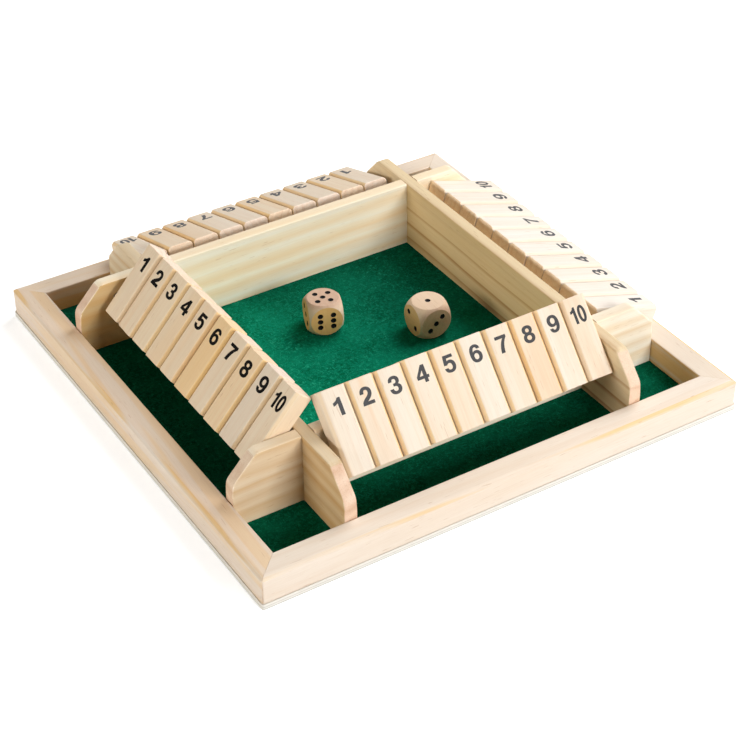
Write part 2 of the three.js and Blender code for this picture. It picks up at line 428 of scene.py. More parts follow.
def wood_finish(
    name, pale, late, honey, tanned, end, ring, contrast, wander, fibre,
    thin=0.45, peak=0.9, end_rings=0.6,
):
    """Planed wood. Growth rings lie round the pith and wander a little, so they run as bands along
    the faces and as arcs across the ends, each with its own strength. Fine fibres, short brown
    dashes and honey streaks run along the grain.

    The colours are those of the pale wood, the late wood of a ring and the end grain. The tints are
    those of honey streaks and of tan parts. A ring has a width, a contrast and a wander in metres.
    Its late wood starts at the share thin of the year and is strongest at the share peak. The last
    two strengths are those of the fibres and of the rings on the ends."""
    wood = Finish(name, 0.5, Specular_IOR_Level=0.3)
    grain = wood.attribute("grain")

    def streaks(along, across, detail, roughness=0.5, move=(0, 0, 0), output="Fac"):
        """Noise with so many waves to the metre along the grain and across it."""
        waves = wood.stretch(grain, (along, across, across), move)
        return wood.noise(waves, 1, detail, roughness, output)

    tan, pink, streaky = wood.split(wood.attribute("tone"))
    end_grain = wood.fade(wood.attribute("end", "Fac"), 0.5, 0.72)

    drift = streaks(9, 30, 2.5, output="Color")
    drift = wood.vectors("MULTIPLY", wood.vectors("SUBTRACT", drift, (0.5,) * 3), (wander,) * 3)
    across = wood.vectors("MULTIPLY", wood.vectors("ADD", grain, drift), (0, 1, 1))
    years = wood.sum("MULTIPLY", wood.vectors("LENGTH", across, output="Value"), 1 / ring)
    uneven = streaks(0.5, 70, 1, move=(3, 1, 2))
    years = wood.sum("ADD", years, wood.sum("MULTIPLY", uneven, 1.4))
    share_of_year = wood.sum("FRACT", years)
    strength = wood.nodes.new("ShaderNodeTexWhiteNoise")
    strength.noise_dimensions = "1D"
    wood.feed(strength.inputs["W"], wood.sum("FLOOR", years))
    late_wood = wood.ramp(share_of_year, [(0, 0.0), (thin, 0.0), (peak, 1.0), (1.0, 0.0)])
    late_wood = wood.sum("MULTIPLY", late_wood, wood.fade(strength.outputs["Value"], 0, 1, 0.45))

    clouds = streaks(5, 38, 3)
    patches = streaks(14, 60, 2, move=(2, 7, 1))
    fibres = streaks(22, 1000, 4, 0.62)
    threads = streaks(9, 330, 3, 0.55, (1, 3, 4))
    hairs = streaks(70, 2800, 2)
    dashes = wood.fade(streaks(110, 1500, 1, move=(5, 2, 8)), 0.69, 0.78)
    lines = streaks(5, 150, 2, move=(4, 4, 9))

    colour = wood.tint(wood.fade(clouds, 0.35, 0.7, 0, 0.5), pale, (0.93, 0.87, 0.78))
    colour = wood.blend(wood.sum("MULTIPLY", late_wood, contrast), colour, late)
    colour = wood.blend(wood.fade(threads, 0.5, 0.72, 0, fibre), colour, late)
    colour = wood.tint(wood.fade(fibres, 0.5, 0.78, 0, fibre), colour, (0.78, 0.64, 0.48))
    colour = wood.tint(wood.fade(hairs, 0.4, 0.75, 0, 0.14), colour, (0.72, 0.6, 0.46))
    flame = wood.sum("MULTIPLY", wood.fade(lines, 0.4, 0.54), streaky)
    colour = wood.tint(flame, colour, honey)
    rosy = wood.sum("MULTIPLY", pink, wood.fade(patches, 0.3, 0.65, 0.35, 1))
    colour = wood.tint(rosy, colour, (0.95, 0.80, 0.73))
    colour = wood.tint(tan, colour, tanned)
    colour = wood.tint(wood.sum("MULTIPLY", dashes, 0.45), colour, (0.60, 0.42, 0.26))

    pores = streaks(300, 1800, 2)
    rays = streaks(200, 400, 3)
    cut_end = wood.tint(wood.sum("MULTIPLY", late_wood, end_rings), end, (0.74, 0.58, 0.46))
    cut_end = wood.tint(wood.fade(rays, 0.4, 0.7, 0, 0.5), cut_end, (0.94, 0.86, 0.80))
    cut_end = wood.tint(wood.fade(pores, 0.45, 0.75, 0, 0.35), cut_end, (0.70, 0.56, 0.46))
    cut_end = wood.tint(tan, cut_end, tanned)

    wood.colour(wood.blend(end_grain, colour, cut_end))
    wood.roughness(wood.fade(fibres, 0.3, 0.8, 0.44, 0.64))
    relief = wood.sum("MULTIPLY", fibres, 0.6)
    relief = wood.sum("ADD", relief, wood.sum("MULTIPLY", hairs, 0.3))
    relief = wood.sum("SUBTRACT", relief, wood.sum("MULTIPLY", dashes, 0.8))
    open_pores = wood.sum("MULTIPLY", pores, wood.sum("MULTIPLY", end_grain, 0.8))
    relief = wood.sum("SUBTRACT", relief, open_pores)
    wood.bump(relief, 0.05 * mm, 0.4)
    return wood.material


rail_pine = wood_finish(
    "rail pine", pale=linear(234, 221, 206), late=linear(220, 194, 166), honey=(1.0, 0.83, 0.52),
    tanned=(0.85, 0.68, 0.50), end=linear(222, 198, 175), ring=8 * mm, contrast=0.22,
    wander=14 * mm, fibre=0.16, thin=0.35, peak=0.75,
)
banded_pine = wood_finish(
    "banded wall pine", pale=linear(252, 245, 231), late=linear(228, 198, 150),
    honey=(1.0, 0.84, 0.58), tanned=(0.70, 0.52, 0.30), end=linear(236, 214, 190),
    ring=8.5 * mm, contrast=0.6, wander=12 * mm, fibre=0.10, thin=0.15, peak=0.62,
)
pale_pine = wood_finish(
    "pale wall pine", pale=linear(255, 248, 231), late=linear(247, 219, 174),
    honey=(1.0, 0.86, 0.62), tanned=(0.66, 0.48, 0.24), end=linear(236, 209, 186),
    ring=11 * mm, contrast=0.8, wander=12 * mm, fibre=0.08, thin=0.15, peak=0.6,
)
# The left board's golden pine and the right board's lined pine are painted darker than the front
# board's pine, partly their own tone and partly a painted shade on their faces turned to -X; the
# lined pine's brown lines are its own grain.
golden_pine = wood_finish(
    "golden wall pine", pale=linear(231, 220, 198), late=linear(203, 171, 124),
    honey=(1.0, 0.84, 0.58), tanned=(0.77, 0.60, 0.36), end=linear(236, 209, 186),
    ring=8.5 * mm, contrast=0.75, wander=12 * mm, fibre=0.12, thin=0.15, peak=0.62,
)
lined_pine = wood_finish(
    "lined wall pine", pale=linear(230, 214, 182), late=linear(172, 122, 68),
    honey=(1.0, 0.84, 0.58), tanned=(0.86, 0.66, 0.36), end=linear(236, 209, 186),
    ring=15 * mm, contrast=0.9, wander=8 * mm, fibre=0.14, thin=0.68, peak=0.92,
)
tile_wood = wood_finish(
    "tile wood", pale=linear(234, 221, 204), late=linear(223, 194, 166), honey=(1.0, 0.80, 0.60),
    tanned=(1.12, 0.90, 0.50), end=linear(242, 226, 213), ring=4.5 * mm, contrast=0.22,
    wander=6 * mm, fibre=0.13, end_rings=0.35,
)
# The right row's tile wood is a paler copy of the tile wood, its end grain paler too: a painted
# light for the row that faces the high right light.
lit_tile_wood = wood_finish(
    "tile wood painted lit", pale=linear(242, 234, 224), late=linear(229, 206, 182),
    honey=(1.0, 0.80, 0.60), tanned=(1.0, 0.77, 0.48), end=linear(255, 236, 208),
    ring=4.5 * mm, contrast=0.22, wander=6 * mm, fibre=0.13, end_rings=0.3,
)
dice_wood = wood_finish(
    "dice wood", pale=linear(240, 216, 191), late=linear(228, 192, 161), honey=(1.0, 0.84, 0.60),
    tanned=(1.12, 0.82, 0.40), end=linear(220, 186, 160), ring=3 * mm, contrast=0.12,
    wander=3 * mm, fibre=0.14, thin=0.4, end_rings=0.12,
)


def board_edge_finish():
    """The thin three-ply board under the tray: pale plies with greyish glue lines between them, a
    slightly darker top edge and a darker foot, which is a painted shadow.
    """
    board = Finish("base board", 0.8, Specular_IOR_Level=0.25)
    place = board.place()
    flecks = board.noise(place, 900, 4, 0.7)
    height = board.sum("MULTIPLY", board.split(place)[2], 1 / base_high.z)
    # The ramp is darker at the foot, a painted shadow where the board meets the floor.
    plies_and_foot_shadow = board.ramp(height, [
        (0.0, linear(196, 193, 184)), (0.14, linear(206, 203, 194)), (0.24, linear(234, 231, 222)),
        (0.44, linear(234, 230, 222)), (0.54, linear(205, 199, 190)), (0.64, linear(236, 232, 224)),
        (0.92, linear(238, 234, 226)), (1.0, linear(214, 205, 192)),
    ])
    colour = board.blend(board.fade(flecks, 0.5, 0.75, 0, 0.3), plies_and_foot_shadow, linear(200, 194, 184))
    board.colour(colour)
    board.bump(flecks, 0.05 * mm, 0.4)
    return board.material


def felt_finish():
    """Pressed green felt: short matted fibres in all directions, paler where they stand up. Inside
    the walls it is painted lighter towards the front left and darker towards the back right, a
    painted light and shadow; outside the walls it is painted darker, a painted shade."""
    felt = Finish("green felt", 0.95, Specular_IOR_Level=0.02)
    place = felt.place()
    bend = felt.noise(place, 300, 3, output="Color")
    bend = felt.vectors("MULTIPLY", felt.vectors("SUBTRACT", bend, (0.5,) * 3), (0.006,) * 3)
    matted = felt.vectors("ADD", place, bend)
    lengthways = felt.noise(felt.stretch(matted, (230, 1250, 1250)), 1, 2.5, 0.6)
    crossways = felt.noise(felt.stretch(matted, (1250, 230, 1250)), 1, 2.5, 0.6)
    fibres = felt.sum("MAXIMUM", lengthways, crossways)
    tufts = felt.noise(place, 420, 4, 0.7)
    patches = felt.noise(place, 45, 4, 0.6)
    colour = felt.ramp(fibres, [
        (0.42, linear(0, 92, 64)), (0.57, linear(4, 122, 91)), (0.72, linear(46, 168, 134)),
    ])
    colour = felt.blend(felt.fade(tufts, 0.34, 0.6, 0.6, 0), colour, linear(0, 72, 46))
    colour = felt.blend(felt.fade(patches, 0.35, 0.7, 0, 0.4), colour, linear(16, 142, 110))
    x, y, _ = felt.split(place)
    # Outside the walls the felt is painted darker, a painted shade in the channels and corner
    # pockets under and beside the tiles. Inside the walls it is painted lighter towards the front
    # left and darker towards the back right, a painted light and shadow.
    outwards = felt.sum("MAXIMUM", felt.sum("ABSOLUTE", x), felt.sum("ABSOLUTE", y))
    painted_shade_outside_walls = felt.fade(outwards, arena_half, arena_half + mm)
    colour = felt.tint(painted_shade_outside_walls, colour, (0.45, 0.56, 0.54))
    inside_walls = felt.fade(outwards, arena_half, arena_half + mm, 1, 0)
    painted_light_falloff = felt.fade(felt.sum("ADD", x, y), -2 * arena_half, 2 * arena_half, 1.95, 0.5)
    colour = felt.blend(inside_walls, colour, painted_light_falloff, "MULTIPLY")
    felt.colour(colour)
    relief = felt.sum("ADD", fibres, felt.sum("MULTIPLY", tufts, 0.8))
    felt.bump(relief, 0.5 * mm, 0.7)
    return felt.material


def steel_finish():
    """Drawn steel rod: fine scratches round it and a slightly mottled shine."""
    steel = Finish("axle steel", 0.28, Metallic=1.0)
    place = steel.place()
    scratches = steel.noise(steel.stretch(place, (3000, 3000, 400)), 1, 3)
    dull = steel.noise(place, 180, 2)
    steel.colour(steel.ramp(dull, [(0.3, linear(176, 178, 182)), (0.7, linear(206, 207, 210))]))
    steel.roughness(steel.fade(dull, 0.3, 0.7, 0.22, 0.38))
    steel.bump(scratches, 0.01 * mm, 0.3)
    return steel.material


def ink_finish(name, shade, roughness, shine):
    """Printed ink, slightly uneven where the wood shows through."""
    def lighter(by):
        return linear(*(value + by for value in shade))

    ink = Finish(name, roughness, Specular_IOR_Level=shine)
    place = ink.place()
    grip = ink.noise(place, 2400, 3, 0.6)
    thin = ink.noise(place, 500, 2)
    colour = ink.ramp(grip, [(0.35, lighter(0)), (0.8, lighter(22))])
    colour = ink.blend(ink.fade(thin, 0.55, 0.75, 0, 0.25), colour, lighter(30))
    ink.colour(colour)
    ink.bump(grip, 0.02 * mm, 0.4)
    return ink.material


green_felt = felt_finish()
base_board = board_edge_finish()
axle_steel = steel_finish()
grey_ink = ink_finish("grey number ink", (36, 35, 37), 0.5, 0.35)
# A darker, duller copy of the number ink for the left row: a painted shade.
ink_painted_shaded = ink_finish("number ink painted shaded", (6, 4, 3), 0.8, 0.05)
pip_paint = ink_finish("pip paint", (6, 5, 5), 0.6, 0.1)


def dress(piece, material, body, replaced=()):
    """Gives a finished piece its finish and its body, and hides the nodes that it replaces."""
    piece.data.materials.clear()
    piece.data.materials.append(material)
    finish_off(piece, body, replaced)


def finish_off(piece, body, replaced=()):
    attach(piece, body)
    if replaced:
        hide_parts(*replaced)


# ---- Tray ----

def make_base():
    base = start_block("base_board_panel", base_low, base_high)
    round_edges(base, upright, tray_corner_radius, 5)
    round_edges(base, lambda a, b: near(a.z, b.z), arris, 2)
    smooth(base)
    dress(base, base_board, "tray", ["base_panel"])


def tray_column(low, high):
    """A column with the outline of the tray, to round the corners of the rails with."""
    column = start_block("tray_column", (-tray_half, -tray_half, low), (tray_half, tray_half, high))
    round_edges(column, upright, tray_corner_radius, 6)
    return column


# For each rail: how far its pith was, how it was sawn aslant, how tan it is on top and how pink,
# and how streaky
rail_choice = {
    "front": ((0.19, -0.02), (0.5, 0.8), (0.0, 0.1), 0.0),
    "right": ((-0.18, -0.03), (0.8, -0.6), (0.0, 0.05), 0.0),
    "back": ((0.10, 0.12), (1.0, 0.8), (0.1, 0.3), 0.2),
    # The left rail's tan top is a painted shade, the shadow of the raised left row.
    "left": ((0.15, -0.05), (1.6, 2.2), (0.26, 0.25), 0.5),
}


def rail_tone(tan, pink, streaky):
    """A rail has honey streaks on its rounded outer edge. Its inner face is painted with honey
    streaks too, a painted warm shade, and on a tan rail it is partly tan as well, also painted
    shade. A tan one is tan on its top."""
    def tone(face):
        inner = face.normal.y > 0.8
        outer_edge = face.normal.y < -0.1 and face.normal.z > 0.1
        top = face.normal.z > 0.9
        return (tan * top + 0.5 * inner * (tan > 0), pink, max(streaky, outer_edge, inner))
    return tone


def make_rails():
    master = start_block("rail", rail_low, rail_high)
    round_edges(master, on_line(rail_low.y, rail_high.z), rail_edge_radius, 8)
    round_edges(master, on_line(rail_high.y, rail_high.z), rail_inner_edge_radius, 4)
    for end in (-1, 1):
        corner = Vector((end * (tray_half - seam), -tray_half, 0))
        saw(master, corner, Vector((end, 1, 0)).normalized())
    cut_with(master, tray_column(0, 2 * rail_high.z), "INTERSECT")
    break_edges(master, arris, 2, 40)
    smooth(master)
    for number, (side, (pith, slant, tone, streaky)) in enumerate(rail_choice.items()):
        rail = copy_of(master, f"rail_{side}_pine")
        log = place_in_log("X", pith, rail_log_step * number, 0, slant)
        lay_grain(rail, log, rail_tone(*tone, streaky))
        rail.data.transform(turn_to(side))
        dress(rail, rail_pine, "tray", [f"rail_{side}"])
    put_away(master)


def make_felt():
    """Felt cut to the inside of the rails, its top a little uneven."""
    side = felt_high.x - felt_low.x
    bpy.ops.object.select_all(action="DESELECT")
    bpy.ops.mesh.primitive_grid_add(
        x_subdivisions=130, y_subdivisions=130, size=side, location=(0, 0, felt_high.z)
    )
    felt = bpy.context.active_object
    felt.name = felt.data.name = "felt_sheet"
    settle(felt)
    for vertex in felt.data.vertices:
        swell = math.sin(vertex.co.x * 310) * math.sin(vertex.co.y * 270 + 1)
        vertex.co.z -= felt_sink + felt_swell * swell + felt_fluff * workshop.random()
    take_up(felt)
    thickness = felt.modifiers.new("thickness", "SOLIDIFY")
    thickness.thickness = felt_high.z - felt_low.z - felt_nap
    thickness.offset = -1
    bpy.ops.object.modifier_apply(modifier=thickness.name)
    bpy.ops.object.shade_smooth()
    dress(felt, green_felt, "tray", ["felt_lining"])


# ---- Arena walls and axles ----

# For each board: its wood, how far its pith was, how it was sawn aslant, how tan it is at one end,
# between the other boards, at the other end and on top, and how streaky. The tans at the ends and
# between the other boards are partly the wood's own tone and partly painted shade; the right
# board's tan between the other boards is a painted warm shade on its arena face.
board_choice = {
    "front": (banded_pine, (0.05, 0.09), (0.4, 0.5), (0.6, 0.2, 0.0), 0.2, 0.1),
    "right": (lined_pine, (0.09, 0.136), (0.6, 0.5), (0.2, 0.6, 0.2), 0.25, 0.1),
    "back": (pale_pine, (0.07, 0.08), (-0.6, 0.5), (0.0, 0.0, 0.9), 0.2, 0.25),
    "left": (golden_pine, (0.07, 0.10), (0.5, -0.6), (0.2, 0.13, 0.7), 0.2, 0.2),
}


def board_tone(tans, tan_top, streaky):
    """How tan a board is at its two ends, between the other boards and on top. Its end grain is
    paler and a little pink."""
    def tone(face):
        x = face.center.x
        tan = tans[0] if x < -arena_half else tans[2] if x > arena_half else tans[1]
        end = abs(face.normal.x) > 0.5
        top = face.normal.z > 0.8
        return (0.1 if end else tan_top if top else tan, 0.08 * end, streaky)
    return tone


def make_boards():
    """A board of the front side, then one pair slotted from above and one from below."""
    board = start_block("board", board_low, board_high)
    bottom, top = board_low.z, board_high.z
    for end in (-1, 1):
        point = Vector((end * board_high.x, 0, bottom + board_end_height))
        rise = top - bottom - board_end_height
        saw(board, point, Vector((end * rise, 0, board_chamfer_length)).normalized())
    round_edges(
        board,
        lambda a, b: near(a.x, b.x) and near(a.z, b.z) and (
            near(abs(a.x), board_high.x) and near(a.z, bottom + board_end_height)
            or near(abs(a.x), board_high.x - board_chamfer_length) and near(a.z, top)
        ),
        board_end_radius, 5,
    )
    round_edges(
        board,
        lambda a, b: near(a.y, b.y) and not near(a.x, b.x) and min(a.z, b.z) > bottom + mm,
        board_edge_radius, 4,
    )
    half_height = (bottom + top) / 2
    half_thickness = (board_high.y - board_low.y) / 2
    for runs_through in (True, False):
        master = copy_of(board, "board_copy")
        for end in (-1, 1):
            middle = end * (arena_half + half_thickness)
            slot_low, slot_high = half_height - joint_gap, 1.2 * top
            if runs_through:
                slot_low, slot_high = 0, half_height + joint_gap
            cut_with(master, start_block(
                "slot",
                (middle - half_thickness - joint_gap, board_low.y - mm, slot_low),
                (middle + half_thickness + joint_gap, board_high.y + mm, slot_high),
            ))
            cut_with(master, start_rod(
                "axle_hole", axle_hole_radius, 2 * axle_embedment,
                (-end * axle_middle.y, board_high.y, axle_middle.z), along="Y", steps=40,
            ))
        for end in (-1, 1):
            saw(master, (end * (arena_half + half_thickness), 0, 0), (1, 0, 0), through=False)
        break_edges(master, arris, 2, 60)
        smooth(master)
        for side in ("left", "right") if runs_through else ("front", "back"):
            wall = copy_of(master, f"wall_{side}_board")
            pine, pith, slant, tans, tan_top, streaky = board_choice[side]
            start = board_log_step * list(sides).index(side)
            log = place_in_log("X", pith, start, 0, slant)
            lay_grain(wall, log, board_tone(tans, tan_top, streaky))
            wall.data.transform(turn_to(side))
            dress(wall, pine, "tray", [f"wall_{side}"])
        put_away(master)
    put_away(board)


def make_axles():
    master = start_rod("axle", axle_radius, axle_high.x - axle_low.x, axle_middle)
    break_edges(master, axle_end_bevel, 2, 60)
    smooth(master)
    for side in sides:
        axle = copy_of(master, f"axle_{side}_rod")
        axle.data.transform(turn_to(side))
        dress(axle, axle_steel, "tray", [f"axle_{side}"])
    put_away(master)


# ---- Numerals, on a height of 100 ----

def oval(x, y, half_width, half_height):
    """A closed round loop, squarer than an ellipse."""
    across, up = 0.56 * half_width, 0.60 * half_height
    return [
        (x + half_width, y),
        (x + half_width, y + up, x + across, y + half_height, x, y + half_height),
        (x - across, y + half_height, x - half_width, y + up, x - half_width, y),
        (x - half_width, y - up, x - across, y - half_height, x, y - half_height),
        (x + across, y - half_height, x + half_width, y - up, x + half_width, y),
    ]


six_outline = [
    (63, 76), (61, 92, 51, 101.5, 35.5, 101.5), (12, 101.5, 0, 82, 0, 47),
    (0, 15, 11, -1.5, 34, -1.5), (53, -1.5, 66, 12.5, 66, 33), (66, 53, 54, 66.5, 37.5, 66.5),
    (29, 66.5, 22.5, 63, 18, 56.5), (19, 77, 25, 87.5, 35.5, 87.5),
    (41, 87.5, 44.5, 83.5, 45.5, 76), (63, 76),
]
numerals = {
    "1": (44, [[
        (25, 0), (44, 0), (44, 100), (29, 100), (24, 88, 14, 80, 0, 77), (0, 61),
        (10, 63, 18, 67, 25, 73), (25, 0),
    ]]),
    "2": (67, [[
        (2, 0), (67, 0), (67, 17), (29, 17), (37, 26, 66, 39, 66, 69),
        (66, 88, 53, 101.5, 34.5, 101.5), (15, 101.5, 3, 88, 2.5, 66), (20.5, 66),
        (21, 79, 26, 86, 34, 86), (42, 86, 47.5, 80, 47.5, 70), (47.5, 56, 38, 49, 24, 38.5),
        (9, 27, 1.5, 18, 2, 0),
    ]]),
    "3": (67, [[
        (3, 72), (4, 90, 15, 101.5, 33, 101.5), (51, 101.5, 62.5, 91, 62.5, 75.5),
        (62.5, 65, 58, 57, 49, 53.5), (60, 50, 66.5, 41, 66.5, 29),
        (66.5, 10.5, 53, -1.5, 33, -1.5), (13, -1.5, 1, 10, 0.5, 30), (18.5, 30),
        (19, 19.5, 24.5, 13.5, 33, 13.5),
        (42, 13.5, 48, 19.5, 48, 29), (48, 39.5, 42, 44.5, 31, 44.5),
        (26, 44.5), (26, 58), (30, 58), (40, 58, 45, 62.5, 45, 72), (45, 81, 40, 86.5, 33, 86.5),
        (25.5, 86.5, 21, 81.5, 20.5, 72), (3, 72),
    ]]),
    "4": (69, [
        [
            (40, 0), (58, 0), (58, 22), (69, 22), (69, 37), (58, 37), (58, 100), (40, 100), (1, 39),
            (1, 22), (40, 22), (40, 0),
        ],
        [(40, 37), (40, 75), (15, 37), (40, 37)],
    ]),
    "5": (66, [[
        (9, 100), (62, 100), (62, 84), (24, 84), (21.5, 64), (26, 68, 31, 69.5, 37, 69.5),
        (54, 69.5, 66, 56, 66, 34.5), (66, 13, 52, -1.5, 32, -1.5), (14, -1.5, 1, 9, 0.5, 26),
        (18.5, 26), (19.5, 18, 24.5, 13.5, 32, 13.5), (42, 13.5, 48, 21, 48, 33.5),
        (48, 46, 42, 54, 32.5, 54),
        (26, 54, 21.5, 51, 18.5, 45.5), (2, 46.5), (9, 100),
    ]]),
    "6": (66, [six_outline, oval(33.5, 33, 15, 19.5)]),
    "7": (65, [[
        (0, 100), (65, 100), (65, 86), (48, 68, 36, 40, 33, 0), (13, 0), (17, 36, 28, 62, 46, 84),
        (0, 84), (0, 100),
    ]]),
    "8": (66, [
        [
            (33, 101.5), (51, 101.5, 62.5, 91.5, 62.5, 76), (62.5, 66, 58, 58, 49, 54),
            (60, 50, 66, 41, 66, 28.5), (66, 10.5, 53, -1.5, 33, -1.5),
            (13, -1.5, 0, 10.5, 0, 28.5), (0, 41, 6, 50, 17, 54), (8, 58, 3.5, 66, 3.5, 76),
            (3.5, 91.5, 15, 101.5, 33, 101.5),
        ],
        oval(33, 73.5, 12.5, 13), oval(33, 29, 15.5, 15.5),
    ]),
    "narrow 1": (30, [[
        (16, 0), (30, 0), (30, 100), (20, 100), (17, 88, 10, 81, 0, 79), (0, 66),
        (7, 68, 12, 70, 16, 74), (16, 0),
    ]]),
    "narrow 0": (46, [oval(23, 50, 23, 51.5), oval(23, 50, 9.5, 37)]),
}


def turned_over(loop, width):
    """A loop turned half round, as a nine is a six turned over."""
    return [
        tuple((100 if i % 2 else width) - value for i, value in enumerate(step)) for step in loop
    ]


numerals["9"] = (66, [turned_over(loop, 66) for loop in numerals["6"][1]])


def add_loop(curve, loop, left, unit):
    """Adds a closed loop of straight and curved steps to a flat curve."""
    ends = [Vector((step[-2], step[-1])) for step in loop]
    spline = curve.splines.new("BEZIER")
    count = len(loop) - 1
    spline.bezier_points.add(count - 1)
    spline.use_cyclic_u = True
    for number in range(count):
        here, after = ends[number], ends[number + 1]
        step = loop[number + 1]
        if len(step) == 2:
            out, back = here.lerp(after, 1 / 3), here.lerp(after, 2 / 3)
        else:
            out, back = Vector(step[0:2]), Vector(step[2:4])
        point = spline.bezier_points[number]
        arrival = spline.bezier_points[(number + 1) % count]
        for bend in (point, arrival):
            bend.handle_left_type = bend.handle_right_type = "FREE"
        point.co = (left + here.x * unit, here.y * unit, 0)
        point.handle_right = (left + out.x * unit, out.y * unit, 0)
        arrival.handle_left = (left + back.x * unit, back.y * unit, 0)


def print_number(number, boldness):
    """The print of one number as a thin flat mesh: middle at x = 0, foot at y = 0, facing +Z."""
    unit = numeral_height / (100 + 2 * boldness)
    names = [f"narrow {digit}" for digit in "10"] if number == 10 else [str(number)]
    gap = numeral_gap / numeral_widening
    total = sum(numerals[name][0] for name in names) * unit + gap * (len(names) - 1)
    curve = bpy.data.curves.new(f"number_{number}", "CURVE")
    curve.dimensions = "2D"
    curve.fill_mode = "BOTH"
    curve.resolution_u = 7
    curve.extrude = ink_thickness / 2
    curve.offset = boldness * unit
    left = -total / 2
    for name in names:
        width, loops = numerals[name]
        for loop in loops:
            add_loop(curve, loop, left, unit)
        left += width * unit + gap
    printed = bpy.data.objects.new(f"number_{number}", curve)
    bpy.context.collection.objects.link(printed)
    printed.location.y = boldness * unit
    printed.scale.x = numeral_widening
    take_up(printed)
    bpy.ops.object.convert(target="MESH")
    return settle(bpy.context.active_object)


def make_numbers(boldness):
    """For each number, one mesh that carries the print on both broad faces of an upright tile."""
    top = tile_length - pivot_from_end - numeral_from_end
    face = tile_thickness / 2 + ink_stand - ink_thickness / 2
    head_up, head_down = (Matrix.Rotation(turn * math.pi / 2, 4, "X") for turn in (1, -1))
    on_raised_face = Matrix.Translation((0, -face, top - numeral_height)) @ head_up
    on_lowered_face = Matrix.Translation((0, face, top)) @ head_down
    prints = {}
    for number in range(1, tiles_per_row + 1):
        front = print_number(number, boldness)
        back = copy_of(front, "back_print")
        front.data.transform(on_raised_face)
        back.data.transform(on_lowered_face)
        take_up(front)
        back.select_set(True)
        bpy.ops.object.join()
        prints[number] = front
    return prints


# ---- Tiles ----

def make_tile():
    """An upright tile with its pivot at the origin and its raised face towards -Y."""
    half_width, half_thickness = tile_width / 2, tile_thickness / 2
    tile = start_block(
        "tile",
        (-half_width, -half_thickness, -pivot_from_end),
        (half_width, half_thickness, tile_length - pivot_from_end),
    )
    round_edges(tile, upright, tile_chamfer, 1)
    break_edges(tile, tile_arris, 3, 30)
    cut_with(tile, start_rod("axle_hole", axle_hole_radius, 2 * tile_width, (0, 0, 0), steps=40))
    smooth(tile)
    return tile


# How tan, how pink and how streaky each tile is, from the first to the tenth
tile_tones = {
    "front": [
        (0, 0, 0), (0.08, 0.16, 0.5), (0.02, 0, 0.1), (0.05, 0.05, 0.1), (0.08, 0.1, 0.2),
        (0, 0, 0), (0.04, 0.05, 0.1), (0.2, 0.45, 0.1), (0.02, 0, 0.1), (0.08, 0.25, 0.2),
    ],
    # The left row is painted tanner than the other rows, partly its own tone and partly a painted
    # shade, as its faces turn away from the high right light.
    "left": [
        (0.22, 0, 0.1), (0.24, 0, 0.4), (0.34, 0, 0.1), (0.34, 0.05, 0.2), (0.32, 0.15, 0.2),
        (0.7, 0.1, 0.1), (0.22, 0, 0.1), (0.48, 0.05, 0.2), (0.06, 0, 0.1), (0.26, 0.05, 0.1),
    ],
    "back": [
        (0.04, 0, 0.1), (0.22, 0.05, 0.1), (0.04, 0, 0.1), (0.06, 0, 0.1), (0.26, 0.05, 0.2),
        (0.06, 0, 0.1), (0.1, 0.05, 0.1), (0.2, 0.05, 0.2), (0.28, 0.15, 0.1), (0.06, 0, 0.1),
    ],
    "right": [
        (0, 0, 0.1), (0, 0.05, 0.1), (0, 0, 0.2), (0.02, 0.05, 0.1), (0, 0.08, 0.2),
        (0, 0, 0.1), (0.02, 0.05, 0.1), (0, 0, 0.1), (0, 0.08, 0.2), (0, 0.05, 0.1),
    ],
}
# How tan each row's tiles are painted on their long chamfers, a painted shade of the grooves
# between neighbouring tiles, how much less so the outermost tiles of a raised row are, and how
# much browner their ends are, with how much that varies
chamfer_shades = {"front": 0.68, "left": 0.42, "back": 0.6, "right": 0.15}
outermost_share = 0.4
brown_ends = {"front": 0.5, "left": 0.0, "back": 0.1, "right": 0.04}
brown_spread = (0.6, 1.3)
# From where in the log a tile may come: how far out and aside the pith is, and how far along
pith_out, pith_aside, log_length = (0.012, 0.04), (-0.02, 0.02), 9


def tile_tone(tan, pink, streaky, chamfer_shade, brown_end):
    """A tile is painted tan on its long chamfers and a little so on its sides, a painted shade of
    the grooves between tiles, and browner on its ends.
    """
    def tone(face):
        across, along = abs(face.normal.x), abs(face.normal.z)
        edge = 0 if across < 0.5 else chamfer_shade if across < 0.9 else 0.2 * chamfer_shade
        return (min(1, tan + edge + brown_end * (along > 0.8)), pink, streaky)
    return tone


